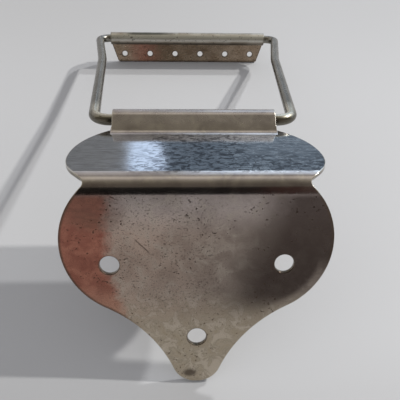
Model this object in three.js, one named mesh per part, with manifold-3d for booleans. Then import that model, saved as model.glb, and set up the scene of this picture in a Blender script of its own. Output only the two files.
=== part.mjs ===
// Trapeze tailpiece for a guitar, set down on a table like a tent.
// It has three pieces: a heart-shaped end plate, a wire loop that turns in the plate's
// curled edge, and a string bar that is curled round the far side of the loop.
// Millimetres. X runs across the guitar, Y from the end plate to the string bar, Z up.
// The origin is the middle of the tailpiece's footprint on the table.

import * as THREE from 'three';
import { mergeVertices } from 'three/addons/utils/BufferGeometryUtils.js';
import Module from 'manifold-3d';

const wasm = await Module();
wasm.setup();

// Sizes of the wire loop
const wireDiameter = 3;
const wireClearance = 0.1;
const hingeToBar = 89;
const kneeToBar = 31;
const kneeHalfSpan = 30.9;
const nearBendRadius = 4.7;
const kneeBendRadius = 60;
const farBendRadius = 3.8;
const hingeEndPlay = 0.7;
const barEndPlay = 0.15;
const wireEndGap = 0.6;

// Sizes of the end plate, which is bent up from one flat blank
const plateThickness = 1.15;
const plateHeight = 47.4;
const tipRadius = 5.9;
const tipFlatHalfWidth = 1;
const flankRadius = 33;
const lobeRadius = 17.8;
const lobeBelowBend = 11.2;
const lobeHalfWidth = 30.4;
const neckRadius = 1;
const bendInsideRadius = 3.35;
const shelfDepth = 27.3;
const shelfHalfWidth = 29.6;
const shelfFrontRadius = 12.5;
const shelfBackRadius = 21;
const tabDepth = 2.9;
const barrelHalfLength = 21.05;
const screwHoleDiameter = 4.4;
const upperScrewSpacing = 39.1;
const upperScrewBelowBend = 16.3;
const lowerScrewHeight = 12.4;

// Sizes of the string bar
const barThickness = 0.8;
const barPastLastString = 5.1;
const flangeReach = 9.75;
const flangeEndInset = 2.4;
const flangeCornerRadius = 1.2;
const stringHoleDiameter = 2.1;
const stringHoleSpacing = 10.43;
const stringHoleHeight = 3.3;

// Gap between a curl's edge and the sheet that it comes back to
const seamGap = 0.3;

// How far a drill runs past the faces of the sheet
const drillOverrun = 2;

// Angles in degrees
const bendAngle = 80;
const plateLean = 29.1;
const barTurn = 2.2;
const arcStep = 7.5;

// Counts
const stringCount = 6;
const cornerCount = 4;
const wireSides = 16;
const drillSides = 32;
const arcPoints = 8;

// Sections of a sheet that lie nearer than this share of its thickness are one section.
const sameSectionShare = 0.01;

const radians = THREE.MathUtils.degToRad;
const degrees = THREE.MathUtils.radToDeg;
const quarterTurn = Math.PI / 2;
const wireRadius = wireDiameter / 2;
const curlInsideRadius = wireRadius + wireClearance;
const stringHalfSpread = stringHoleSpacing * (stringCount - 1) / 2;
const barHalfLength = stringHalfSpread + barPastLastString;

const nickel = (name, colour, roughness) =>
  new THREE.MeshStandardMaterial({ name, color: colour, roughness, metalness: 1 });
const plateFinish = nickel('tarnished_nickel_plate', 0x8d867c, 0.32);
const wireFinish = nickel('nickel_plated_wire', 0x9a978f, 0.28);
const barFinish = nickel('worn_nickel_bar', 0x857a6b, 0.36);

// A closed geometry becomes a solid once the vertices that its faces share are merged.
function toSolid(geometry) {
  const bare = geometry.clone();
  bare.deleteAttribute('normal');
  bare.deleteAttribute('uv');
  const merged = mergeVertices(bare);
  return new wasm.Manifold(new wasm.Mesh({
    numProp: 3,
    vertProperties: new Float32Array(merged.attributes.position.array),
    triVerts: new Uint32Array(merged.index.array),
  }));
}

function toGeometry(solid) {
  const mesh = solid.getMesh();
  const geometry = new THREE.BufferGeometry();
  geometry.setAttribute('position', new THREE.BufferAttribute(mesh.vertProperties, 3));
  geometry.setIndex(new THREE.BufferAttribute(mesh.triVerts, 1));
  geometry.computeVertexNormals();
  return geometry;
}

// Round holes through a sheet that faces along Y, with their centres at the given places.
function drill(sheet, places, diameter, thickness) {
  const depth = thickness + 2 * drillOverrun;
  let solid = toSolid(sheet);
  for (const place of places) {
    const cutter = new THREE.CylinderGeometry(diameter / 2, diameter / 2, depth, drillSides);
    cutter.translate(place.x, place.y, place.z);
    solid = solid.subtract(toSolid(cutter));
  }
  return toGeometry(solid);
}

// The place reached from another after a length that turns through an angle at a steady rate.
function advance(from, length, turn) {
  if (turn === 0) {
    const y = from.y + length * Math.cos(from.angle);
    const z = from.z + length * Math.sin(from.angle);
    return { y, z, angle: from.angle };
  }
  const radius = length / turn;
  const angle = from.angle + turn;
  const y = from.y + radius * (Math.sin(angle) - Math.sin(from.angle));
  const z = from.z - radius * (Math.cos(angle) - Math.cos(from.angle));
  return { y, z, angle };
}

// The middle of a bent sheet, seen from its side as a line in y and z that starts upwards.
// A leg is a straight length, or a radius with a turn in degrees: a positive one curls to -Y.
class SheetLine {
  constructor(start, legs) {
    this.legs = [];
    this.length = 0;
    let place = { ...start, angle: quarterTurn };
    for (const leg of legs) {
      const turn = radians(leg.turn ?? 0);
      const length = leg.length ?? Math.abs(turn) * leg.radius;
      this.legs.push({ place, run: this.length, length, turn });
      place = advance(place, length, turn);
      this.length += length;
    }
  }

  at(run) {
    const leg = this.legs.findLast((one) => one.run <= run) ?? this.legs[0];
    const length = run - leg.run;
    return advance(leg.place, length, leg.turn * length / leg.length);
  }

  // The distances along the line where a section is needed to follow its bends.
  get stops() {
    return this.legs.flatMap((leg) => {
      const steps = Math.max(1, Math.ceil(Math.abs(degrees(leg.turn)) / arcStep));
      return Array.from({ length: steps + 1 }, (_, step) => leg.run + leg.length * step / steps);
    });
  }
}

// Half the width of a flat blank at a distance along it, read off its outline.
function halfWidthAt(outline, run) {
  const found = outline.findLastIndex((corner) => corner.y <= run);
  const index = THREE.MathUtils.clamp(found, 0, outline.length - 2);
  const low = outline[index];
  const high = outline[index + 1];
  return THREE.MathUtils.mapLinear(run, low.y, high.y, low.x, high.x);
}

// Bends a flat blank along a sheet line, as a row of four-cornered sections with two end faces.
// The outline's x is half the blank's width and its y the distance from the blank's first edge.
function bentSheet(line, outline, thickness) {
  const runs = [...line.stops, ...outline.map((corner) => corner.y)];
  runs.sort((one, other) => one - other);
  const isNew = (run, index) => index === 0 || run - runs[index - 1] > thickness * sameSectionShare;
  const sections = runs.filter(isNew);
  const positions = [];
  for (const run of sections) {
    const half = halfWidthAt(outline, run);
    const place = line.at(run);
    const outY = -Math.sin(place.angle) * thickness / 2;
    const outZ = Math.cos(place.angle) * thickness / 2;
    positions.push(-half, place.y + outY, place.z + outZ, half, place.y + outY, place.z + outZ);
    positions.push(half, place.y - outY, place.z - outZ, -half, place.y - outY, place.z - outZ);
  }
  const indices = [];
  const quad = (a, b, c, d) => indices.push(a, b, c, a, c, d);
  const rings = sections.map((_, section) =>
    Array.from({ length: cornerCount }, (_, corner) => section * cornerCount + corner));
  for (let section = 1; section < rings.length; section += 1) {
    const near = rings[section - 1];
    const far = rings[section];
    for (let corner = 0; corner < cornerCount; corner += 1) {
      const next = (corner + 1) % cornerCount;
      quad(near[corner], near[next], far[next], far[corner]);
    }
  }
  quad(...rings[0].toReversed());
  quad(...rings[rings.length - 1]);
  const geometry = new THREE.BufferGeometry();
  geometry.setAttribute('position', new THREE.Float32BufferAttribute(positions, 3));
  geometry.setIndex(indices);
  return geometry;
}

// A curl starts level with the wire and goes round it for three quarters of a turn,
// then on until its edge is a seam's gap from the face that it started from.
function curlTurn(thickness) {
  const lastPart = Math.asin((curlInsideRadius - seamGap) / (curlInsideRadius + thickness));
  return degrees(3 * quarterTurn + lastPart);
}

// The point at two given distances from two others, on the side that has the larger x.
function meetingPoint(first, firstDistance, second, secondDistance) {
  const span = first.distanceTo(second);
  const along = (firstDistance ** 2 - secondDistance ** 2 + span ** 2) / (2 * span);
  const aside = Math.sqrt(firstDistance ** 2 - along ** 2);
  const way = second.clone().sub(first).normalize();
  const side = new THREE.Vector2(way.y, -way.x);
  if (side.x < 0) side.negate();
  return first.clone().addScaledVector(way, along).addScaledVector(side, aside);
}

// An arc from the direction of one point, seen from its centre, to the direction of another.
function addArc(path, centre, radius, from, to, clockwise) {
  const start = from.clone().sub(centre).angle();
  const end = to.clone().sub(centre).angle();
  path.absarc(centre.x, centre.y, radius, start, end, clockwise);
}

// The end plate's middle line: heart, bend, shelf and the curl that holds the wire
const bendRadius = bendInsideRadius + plateThickness / 2;
const bendLength = radians(bendAngle) * bendRadius;
const barrelRadius = curlInsideRadius + plateThickness / 2;
const plateLine = new SheetLine({ y: 0, z: 0 }, [
  { length: plateHeight },
  { radius: bendRadius, turn: -bendAngle },
  { length: shelfDepth },
  { radius: barrelRadius, turn: curlTurn(plateThickness) },
]);

// Half the outline of the end plate's blank, as arcs that run into each other:
// the heart's tip, flank and lobe, the neck at the bend, the shelf's wing, then the curled tab.
function endPlateOutline() {
  const tipRise = Math.sqrt(tipRadius ** 2 - tipFlatHalfWidth ** 2);
  const wingBackX = shelfHalfWidth - shelfBackRadius;
  const wingRise = Math.sqrt(shelfBackRadius ** 2 - (barrelHalfLength - wingBackX) ** 2);
  const tabRun = plateHeight + bendLength + shelfDepth - tabDepth;
  const widestRun = tabRun - wingRise;
  const tipStart = new THREE.Vector2(tipFlatHalfWidth, 0);
  const tip = new THREE.Vector2(0, tipRise);
  const lobe = new THREE.Vector2(lobeHalfWidth - lobeRadius, plateHeight - lobeBelowBend);
  const flank = meetingPoint(tip, tipRadius + flankRadius, lobe, lobeRadius + flankRadius);
  const wing = new THREE.Vector2(shelfHalfWidth, widestRun);
  const wingFront = new THREE.Vector2(shelfHalfWidth - shelfFrontRadius, widestRun);
  const wingBack = new THREE.Vector2(wingBackX, widestRun);
  const neck = meetingPoint(lobe, lobeRadius + neckRadius, wingFront, shelfFrontRadius + neckRadius);
  const wingEnd = new THREE.Vector2(barrelHalfLength, tabRun);
  const outline = new THREE.Path();
  addArc(outline, tip, tipRadius, tipStart, flank, false);
  addArc(outline, flank, flankRadius, tip, lobe, true);
  addArc(outline, lobe, lobeRadius, flank, neck, false);
  addArc(outline, neck, neckRadius, lobe, wingFront, true);
  addArc(outline, wingFront, shelfFrontRadius, neck, wing, false);
  addArc(outline, wingBack, shelfBackRadius, wing, wingEnd, false);
  outline.lineTo(barrelHalfLength, plateLine.length);
  return outline.getPoints(arcPoints);
}

// The end plate in its own frame: the heart stands upright and faces -Y, on the middle of its tip.
function makeEndPlate() {
  const sheet = bentSheet(plateLine, endPlateOutline(), plateThickness);
  const upperScrewHeight = plateHeight - upperScrewBelowBend;
  const screwPlaces = [
    new THREE.Vector3(-upperScrewSpacing / 2, 0, upperScrewHeight),
    new THREE.Vector3(upperScrewSpacing / 2, 0, upperScrewHeight),
    new THREE.Vector3(0, 0, lowerScrewHeight),
  ];
  return drill(sheet, screwPlaces, screwHoleDiameter, plateThickness);
}

// The middle of a wire that lies flat and is bent at corners, each on its own radius.
// Its steps are dealt out by how far it turns, so a straight run takes a single one.
class WirePath extends THREE.Curve {
  constructor(start, corners, end) {
    super();
    this.marks = [];
    const places = [start, ...corners.map((corner) => corner.at), end];
    this.mark(start, places[1].clone().sub(start).normalize());
    corners.forEach((corner, index) => this.bend(places[index], corner, places[index + 2]));
    this.mark(end, end.clone().sub(places[places.length - 2]).normalize());
  }

  mark(at, way) {
    this.marks.push({ at: new THREE.Vector3(at.x, at.y, 0), way: new THREE.Vector3(way.x, way.y, 0) });
  }

  bend(before, corner, after) {
    const wayIn = corner.at.clone().sub(before).normalize();
    const wayOut = after.clone().sub(corner.at).normalize();
    const turn = Math.atan2(wayIn.cross(wayOut), wayIn.dot(wayOut));
    const setback = corner.radius * Math.tan(Math.abs(turn) / 2);
    const begin = corner.at.clone().addScaledVector(wayIn, -setback);
    const inwards = new THREE.Vector2(-wayIn.y, wayIn.x).multiplyScalar(Math.sign(turn));
    const centre = begin.clone().addScaledVector(inwards, corner.radius);
    const steps = Math.ceil(degrees(Math.abs(turn)) / arcStep);
    for (let step = 0; step <= steps; step += 1) {
      const angle = turn * step / steps;
      const way = wayIn.clone().rotateAround(new THREE.Vector2(), angle);
      this.mark(begin.clone().rotateAround(centre, angle), way);
    }
  }

  get steps() {
    return this.marks.length - 1;
  }

  getPointAt(share) {
    return this.marks[Math.round(share * this.steps)].at.clone();
  }

  getTangentAt(share) {
    return this.marks[Math.round(share * this.steps)].way.clone();
  }
}

// How far out a corner of the loop lies, so that its bend starts just past the curl on that side
// and ends in line with the knee. The half angle's tangent comes from a quadratic equation.
function cornerHalfSpan(bendStart, radius, kneeAway) {
  const aside = kneeHalfSpan - bendStart;
  const ahead = kneeAway - 2 * radius;
  const halfTangent = (Math.sqrt(aside ** 2 + kneeAway * ahead) - aside) / ahead;
  return bendStart + radius * halfTangent;
}

// The wire loop in its own frame: it turns about X, and its far side lies at Y = hingeToBar.
// The two ends of the wire meet, out of sight, inside the end plate's curl.
function makeWireLoop() {
  const kneeDistance = hingeToBar - kneeToBar;
  const nearHalfSpan = cornerHalfSpan(barrelHalfLength + hingeEndPlay, nearBendRadius, kneeDistance);
  const farHalfSpan = cornerHalfSpan(barHalfLength + barEndPlay, farBendRadius, kneeToBar);
  const corner = (x, y, radius) => ({ at: new THREE.Vector2(x, y), radius });
  const path = new WirePath(new THREE.Vector2(wireEndGap / 2, 0), [
    corner(nearHalfSpan, 0, nearBendRadius),
    corner(kneeHalfSpan, kneeDistance, kneeBendRadius),
    corner(farHalfSpan, hingeToBar, farBendRadius),
    corner(-farHalfSpan, hingeToBar, farBendRadius),
    corner(-kneeHalfSpan, kneeDistance, kneeBendRadius),
    corner(-nearHalfSpan, 0, nearBendRadius),
  ], new THREE.Vector2(-wireEndGap / 2, 0));
  const rim = Array.from({ length: wireSides }, (_, side) => {
    const angle = 2 * Math.PI * side / wireSides;
    return new THREE.Vector2(wireRadius * Math.cos(angle), wireRadius * Math.sin(angle));
  });
  return new THREE.ExtrudeGeometry(new THREE.Shape(rim), { steps: path.steps, extrudePath: path });
}

// Half the outline of the string bar's blank: the flange with its slanted end, then the curl.
function stringBarOutline(length) {
  const foot = new THREE.Vector2(barHalfLength - flangeEndInset, 0);
  const shoulder = new THREE.Vector2(barHalfLength, flangeReach - curlInsideRadius - barThickness);
  const slant = shoulder.clone().sub(foot).angle();
  const cornerStart = foot.x - flangeCornerRadius * Math.tan(slant / 2);
  const outline = new THREE.Path();
  outline.absarc(cornerStart, flangeCornerRadius, flangeCornerRadius, -quarterTurn, slant - quarterTurn);
  outline.lineTo(shoulder.x, shoulder.y);
  outline.lineTo(barHalfLength, length);
  return outline.getPoints(arcPoints);
}

// The string bar in its own frame: the wire runs through it along X, the flange hangs behind
// the wire, and the curl comes over the wire to the front.
function makeStringBar() {
  const radius = curlInsideRadius + barThickness / 2;
  const line = new SheetLine({ y: radius, z: -flangeReach }, [
    { length: flangeReach },
    { radius, turn: curlTurn(barThickness) },
  ]);
  const sheet = bentSheet(line, stringBarOutline(line.length), barThickness);
  const stringPlaces = Array.from({ length: stringCount }, (_, index) => {
    const x = index * stringHoleSpacing - stringHalfSpread;
    return new THREE.Vector3(x, radius, stringHoleHeight - flangeReach);
  });
  return drill(sheet, stringPlaces, stringHoleDiameter, barThickness);
}

// How far the loop slopes down from its hinge so that the flange's foot stands on the table.
// The axis at the bar is then as high as the turned flange reaches below it.
function loopSlope(hingeHeight) {
  const turn = radians(barTurn);
  const flangeBack = curlInsideRadius + barThickness;
  const reach = hingeToBar + flangeBack * Math.cos(turn) - flangeReach * Math.sin(turn);
  const foot = flangeBack * Math.sin(turn) + flangeReach * Math.cos(turn);
  return Math.asin(hingeHeight / Math.hypot(reach, foot)) - Math.atan2(foot, reach);
}

function makeMesh(name, geometry, material) {
  const mesh = new THREE.Mesh(geometry, material);
  mesh.name = name;
  return mesh;
}

// The end plate leans back on the rear edge of its tip.
const lean = radians(plateLean);
const standing = new THREE.Group();
standing.rotation.x = -lean;
standing.position.z = plateThickness / 2 * Math.sin(lean);
standing.add(makeMesh('end_plate', makeEndPlate(), plateFinish));

// The wire loop turns at the middle of the end plate's curl.
const curlStart = plateLine.legs[plateLine.legs.length - 1].place;
const hinge = new THREE.Group();
hinge.position.y = curlStart.y - barrelRadius * Math.sin(curlStart.angle);
hinge.position.z = curlStart.z + barrelRadius * Math.cos(curlStart.angle);
standing.add(hinge);
const hingeHeight = hinge.getWorldPosition(new THREE.Vector3()).z;
hinge.rotation.x = lean - loopSlope(hingeHeight);
hinge.add(makeMesh('wire_loop', makeWireLoop(), wireFinish));

// The string bar turns on the far side of the loop.
const barPivot = new THREE.Group();
barPivot.position.y = hingeToBar;
barPivot.rotation.x = -radians(barTurn);
barPivot.add(makeMesh('string_bar', makeStringBar(), barFinish));
hinge.add(barPivot);

// The whole is set over the middle of its footprint.
const tailpiece = new THREE.Group();
tailpiece.add(standing);
tailpiece.updateWorldMatrix(true, true);
const middle = new THREE.Box3().setFromObject(tailpiece, true).getCenter(new THREE.Vector3());
tailpiece.position.set(-middle.x, -middle.y, 0);

export default tailpiece;
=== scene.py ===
"""Looks of a trapeze tailpiece for a guitar: an end plate, a wire loop and a string bar.

Shapes are worked out in millimetres, in each piece's own frame, then set in the shared
frame in metres. A bent sheet is a flat blank, filled once and bent as whole arrays, and the
wire is a round section carried along its path.
"""

import math

import bpy
import numpy as np
from mathutils import Matrix, Vector
from mathutils.geometry import delaunay_2d_cdt


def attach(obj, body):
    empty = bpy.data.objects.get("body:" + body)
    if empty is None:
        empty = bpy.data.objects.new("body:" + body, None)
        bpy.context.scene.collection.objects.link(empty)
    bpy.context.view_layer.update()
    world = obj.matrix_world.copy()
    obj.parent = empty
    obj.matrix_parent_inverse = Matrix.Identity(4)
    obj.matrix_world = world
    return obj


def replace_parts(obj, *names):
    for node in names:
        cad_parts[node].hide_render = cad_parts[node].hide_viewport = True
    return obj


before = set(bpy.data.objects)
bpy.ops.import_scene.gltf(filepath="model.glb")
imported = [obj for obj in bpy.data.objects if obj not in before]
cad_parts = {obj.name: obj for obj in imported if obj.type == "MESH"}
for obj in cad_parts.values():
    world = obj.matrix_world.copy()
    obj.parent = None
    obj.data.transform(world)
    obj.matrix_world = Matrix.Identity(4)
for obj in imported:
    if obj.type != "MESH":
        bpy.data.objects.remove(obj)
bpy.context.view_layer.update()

# Sizes of the wire loop, in millimetres
WIRE_RADIUS = 1.5
WIRE_CLEARANCE = 0.1
HINGE_TO_BAR = 89
KNEE_TO_BAR = 31
KNEE_HALF_SPAN = 30.9
NEAR_BEND_RADIUS = 4.7
KNEE_BEND_RADIUS = 60
FAR_BEND_RADIUS = 3.8
HINGE_END_PLAY = 0.7
BAR_END_PLAY = 0.15
WIRE_END_GAP = 0.6
WIRE_END_BEVEL = 0.25

# Sizes of the end plate
PLATE_THICKNESS = 1.15
PLATE_EDGE_RADIUS = 0.22
PLATE_HEIGHT = 47.4
TIP_RADIUS = 5.9
TIP_FLAT_HALF_WIDTH = 1
FLANK_RADIUS = 33
LOBE_RADIUS = 17.8
LOBE_BELOW_BEND = 11.2
LOBE_HALF_WIDTH = 30.4
NECK_RADIUS = 1
BEND_INSIDE_RADIUS = 3.35
SHELF_DEPTH = 27.3
SHELF_HALF_WIDTH = 29.6
SHELF_FRONT_RADIUS = 12.5
SHELF_BACK_RADIUS = 21
TAB_DEPTH = 2.9
TAB_CORNER_RADIUS = 0.45
BARREL_HALF_LENGTH = 21.05
RAMP_RISE = 45
RAMP_FOOT_RADIUS = 3
SCREW_HOLE_RADIUS = 2.2
UPPER_SCREW_HALF_SPACING = 19.55
UPPER_SCREW_BELOW_BEND = 16.3
LOWER_SCREW_HEIGHT = 12.4

# Sizes of the string bar
BAR_THICKNESS = 0.8
BAR_EDGE_RADIUS = 0.16
BAR_HALF_LENGTH = 31.175
BAR_CORNER_RADIUS = 0.3
FLANGE_REACH = 9.75
FLANGE_END_INSET = 2.4
FLANGE_CORNER_RADIUS = 1.2
STRING_HOLE_RADIUS = 1.05
STRING_HOLE_SPACING = 10.43
STRING_HOLE_HEIGHT = 3.3
STRING_COUNT = 6
SEAM_GAP = 0.3

# Where the pieces stand, in degrees and millimetres
BEND_ANGLE = 80
PLATE_LEAN = 29.1
LOOP_SLOPE = 17.4095
BAR_TURN = 2.2
TIP_TO_MIDDLE = 70.5466
HINGE_PLACE = (-16.27159, 36.61872)
BAR_PLACE = (68.65137, 9.98998)

# How finely the surfaces are worked out: spacings of points in millimetres, and counts
ARC_SPACING = 0.3
ARC_STEPS_PER_RADIAN = 9
CLOSING_SPACING = 0.7
TAB_SIDE_SPACING = 0.115
TAB_SIDE_COLUMNS = 7
BAR_SIDE_SPACING = 0.11
BAR_CORNER_SPACING = 0.15
PLATE_SPACING = 1.5
BAR_SPACING = 1.3
WIRE_SPACING = 2.5
BEND_STEP = math.radians(3)
EDGE_STEPS = 4
WIRE_SIDES = 44
HOLE_SIDES = 64

# Two rings of points run inside each edge of a blank, and its evenly dealt points start past them
RING_INSETS = (0.3, 0.85)
RING_TOLERANCE = 0.97
FIRST_POINT_INSET = 1.1

# The width over which the sheet steps up from the shelf to the tab, past the barrel's ends
TAB_SIDE = 0.35

# Waves from pressing: their lengths, the longest one's height, and where they fade out
WAVE_LENGTHS = (29, 21, 15, 11, 8.5)
WAVE_HEIGHT = 0.012
WAVE_FADE = 6
PLATE_WAVE_SEED = 5
BAR_WAVE_SEED = 9

# The dark card: its ends across and along, its bow, its middle in y and z, and its lean over
# the table in degrees
CARD_ACROSS = (-70, 62)
CARD_ALONG = (-58, 38)
CARD_BOW = 3
CARD_PLACE = (-131, 113)
CARD_TILT = 39

# The table's radius, and its lamps: a name, the shift of a shadow in x and y for each unit of
# height, a strength and a colour. Each lamp is as wide as the angle, in degrees
TABLE_RADIUS = 3000
LAMP_ANGLE = 1.9
LAMPS = (
    ("window_lamp", (-1.05, -0.44), 1.45, (1.0, 0.992, 0.98)),
    ("second_window", (-1.03, -0.795), 1.17, (0.97, 0.98, 1.0)),
)

# The camera: its place, its pitch, yaw and roll in degrees, and its focal length in pixels of a
# picture 400 pixels wide
CAMERA_PLACE = (-4.24, -122.109, 122.59)
CAMERA_TURNS = (47.88, 3.63, 2.42)
FOCAL_LENGTH = 515
PICTURE_WIDTH = 400
SENSOR_WIDTH = 36

QUARTER_TURN = math.pi / 2
FULL_TURN = 2 * math.pi
CURL_INSIDE = WIRE_RADIUS + WIRE_CLEARANCE
UPPER_SCREW_HEIGHT = PLATE_HEIGHT - UPPER_SCREW_BELOW_BEND


def arc(centre, radius, start, end, clockwise=False, spacing=ARC_SPACING):
    """Points on an arc from the bearing of one point to that of another: the centre plus the
    radius times the cosine and sine of evenly dealt angles."""
    first, last = (math.atan2(*(np.subtract(p, centre)[::-1])) for p in (start, end))
    turn = -((first - last) % FULL_TURN) if clockwise else (last - first) % FULL_TURN
    steps = max(3, math.ceil(abs(turn) * max(radius / spacing, ARC_STEPS_PER_RADIAN)))
    angles = np.linspace(first, first + turn, steps + 1)
    return np.asarray(centre) + radius * np.stack([np.cos(angles), np.sin(angles)], 1)


def straight(start, end, spacing):
    """Evenly dealt points from one point to another: the start plus a growing share of the way."""
    steps = max(1, math.ceil(math.dist(start, end) / spacing))
    return np.linspace(start, end, steps + 1)


def meeting(first, first_distance, second, second_distance):
    """The point at two given distances from two others, on the side with the larger x. The
    squares of the two distances and of the span give how far along the span it lies."""
    first, second = np.asarray(first, float), np.asarray(second, float)
    span = math.dist(first, second)
    along = (first_distance**2 - second_distance**2 + span**2) / (2 * span)
    aside = math.sqrt(first_distance**2 - along**2)
    way = (second - first) / span
    side = np.array([way[1], -way[0]])
    return first + way * along + side * math.copysign(aside, side[0])


def chain(*stretches):
    """Joins stretches of points end to end and drops the points that come twice."""
    points = np.concatenate(stretches)
    apart = np.linalg.norm(np.diff(points, axis=0), axis=1) > 1e-4
    return points[np.concatenate([[True], apart])]


def closed_both_ways(half):
    """A whole outline, counterclockwise: its right half, that half backwards with the sign of x
    changed, and a straight at the top and at the foot."""
    left = half[::-1] * (-1, 1)
    top = straight(half[-1], left[0], CLOSING_SPACING)[1:-1]
    foot = straight(left[-1], half[0], CLOSING_SPACING)[1:-1]
    return np.concatenate([half, top, left, foot])


def hole(x, run, radius):
    """A round hole's rim, clockwise, so that the sheet lies on its left: the middle plus the
    radius times the cosine and sine of angles that fall evenly."""
    angles = -FULL_TURN * np.arange(HOLE_SIDES) / HOLE_SIDES
    return np.stack([x + radius * np.cos(angles), run + radius * np.sin(angles)], 1)


class SheetLine:
    """The middle of a bent sheet, seen from its side, as straights and arcs that run on.

    A leg is (length, turn in radians). At a distance along a leg that bends, the heading is
    the leg's first heading plus the curvature times the distance, and the place is the
    integral of the heading's cosine and sine.
    """

    def __init__(self, y, z, *legs):
        self.legs = legs
        runs, headings, places = [0.0], [QUARTER_TURN], [(y, z)]
        for length, turn in legs:
            y, z = self._advance(places[-1], headings[-1], turn / length, length)
            places.append((float(y), float(z)))
            runs.append(runs[-1] + length)
            headings.append(headings[-1] + turn)
        self.runs, self.headings, self.places = map(np.array, (runs, headings, places))
        self.curvatures = np.array([turn / length for length, turn in legs])
        self.length = self.runs[-1]

    @staticmethod
    def _advance(place, heading, curvature, distance):
        """The place at a distance along a leg. A leg whose curvature is nothing is a straight."""
        bent = np.abs(curvature) > 1e-9
        safe = np.where(bent, curvature, 1)
        end = heading + curvature * distance
        ahead = np.where(bent, (np.sin(end) - np.sin(heading)) / safe, distance * np.cos(heading))
        rise = np.where(bent, (np.cos(heading) - np.cos(end)) / safe, distance * np.sin(heading))
        return place[0] + ahead, place[1] + rise

    def at(self, run):
        """Places and headings at an array of distances along the line."""
        leg = np.clip(np.searchsorted(self.runs, run, side="right") - 1, 0, len(self.legs) - 1)
        curvature = self.curvatures[leg]
        distance = run - self.runs[leg]
        y, z = self._advance(self.places[leg].T, self.headings[leg], curvature, distance)
        return y, z, self.headings[leg] + curvature * distance

    def rows(self, spacing):
        """Distances at which the sheet gets a row of points, close together where it bends."""
        rows = []
        for start, end, (length, turn) in zip(self.runs, self.runs[1:], self.legs):
            steps = max(1, math.ceil(max(length / spacing, abs(turn) / BEND_STEP)))
            rows.append(np.linspace(start, end, steps + 1))
        return np.unique(np.concatenate(rows).round(6))


def curl_turn(thickness):
    """A curl goes round the wire until its edge is a seam's gap from the face that it left: three
    quarters of a turn, and the angle whose sine is the inside radius less the gap, over the
    outside radius."""
    last_part = math.asin((CURL_INSIDE - SEAM_GAP) / (CURL_INSIDE + thickness))
    return 3 * QUARTER_TURN + last_part


def leftward(loop):
    """At each point of a closed loop, the way to the sheet's inside. Its length is such that a
    step of it moves both neighbouring edges by one unit: the sum of their two left normals, over
    one plus the product of the normals."""
    ahead = np.roll(loop, -1, 0) - loop
    ahead /= np.linalg.norm(ahead, axis=1, keepdims=True)
    left = np.stack([-ahead[:, 1], ahead[:, 0]], 1)
    before = np.roll(left, 1, 0)
    return (left + before) / (1 + (left * before).sum(1, keepdims=True))


def is_inside(points, loop):
    """Whether points lie in a loop: an odd number of its edges cross the line to their right."""
    x, y = points[:, :1], points[:, 1:]
    x0, y0 = loop.T
    x1, y1 = np.roll(loop, -1, 0).T
    crosses = (y0 > y) != (y1 > y)
    reach = x0 + (y - y0) * (x1 - x0) / np.where(y1 == y0, 1, y1 - y0)
    return (crosses & (x < reach)).sum(1) % 2 == 1


def nearest(points, loops):
    """The distance from each point to the nearest point of any loop, some 500 at a time."""
    rim = np.concatenate(loops)
    parts = np.array_split(points, max(1, len(points) // 500))
    return np.concatenate(
        [np.sqrt(((part[:, None] - rim[None]) ** 2).sum(2).min(1)) for part in parts]
    )


def fill(loops, insets, edge, rows, spacing, columns):
    """Fills a blank with triangles. Its points are the loops set in by the rounded edge, two
    more rings inside each loop, and rows of evenly dealt points. Gives the points, the
    triangles, and the place in the points at which each loop starts."""
    width = np.abs(loops[0][:, 0]).max()
    steps = np.sort(np.concatenate([np.arange(-width, width, spacing), columns]))
    inner = np.stack(np.meshgrid(steps, rows), 2).reshape(-1, 2)
    inner = inner[(nearest(inner, loops) > edge + FIRST_POINT_INSET) & is_inside(inner, loops[0])]
    for loop in loops[1:]:
        inner = inner[~is_inside(inner, loop)]

    rims, rings = [], []
    for loop, way in zip(loops, insets):
        rims.append(loop + way * edge)
        for more in RING_INSETS:
            ring = loop + way * (edge + more)
            rings.append(ring[nearest(ring, loops) > (edge + more) * RING_TOLERANCE])
    points = np.concatenate([*rims, *rings, inner])
    starts = np.cumsum([0] + [len(rim) for rim in rims])
    edges = [
        (int(start + i), int(start + (i + 1) % len(rim)))
        for start, rim in zip(starts, rims)
        for i in range(len(rim))
    ]
    filled = delaunay_2d_cdt([Vector(p) for p in points], edges, [], 0, 1e-7, False)
    if len(filled[0]) != len(points):
        raise ValueError("the blank's outline crosses itself")

    triangles = np.array(filled[2])
    centres = points[triangles].mean(1)
    keep = is_inside(centres, rims[0])
    for rim in rims[1:]:
        keep &= ~is_inside(centres, rim)
    return points, triangles[keep], starts


def waves(x, run, seed, flat_after):
    """Faint waves of a pressed sheet: a sum of sines of seeded directions and phases, with
    the slopes along x and along the run. They fade out before the curl."""
    random = np.random.default_rng(seed)
    total, slope_x, slope_run = (np.zeros(len(x)) for _ in range(3))
    for length in WAVE_LENGTHS:
        bearing, phase = random.uniform(0, FULL_TURN, 2)
        size = WAVE_HEIGHT * length / WAVE_LENGTHS[0]
        rate = FULL_TURN / length
        wave_x, wave_run = rate * math.cos(bearing), rate * math.sin(bearing)
        angle = wave_x * x + wave_run * run + phase
        total += size * np.sin(angle)
        slope_x += size * wave_x * np.cos(angle)
        slope_run += size * wave_run * np.cos(angle)
    fade = np.clip((flat_after - run) / WAVE_FADE, 0, 1)
    return total * fade, slope_x * fade, slope_run * fade


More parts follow.
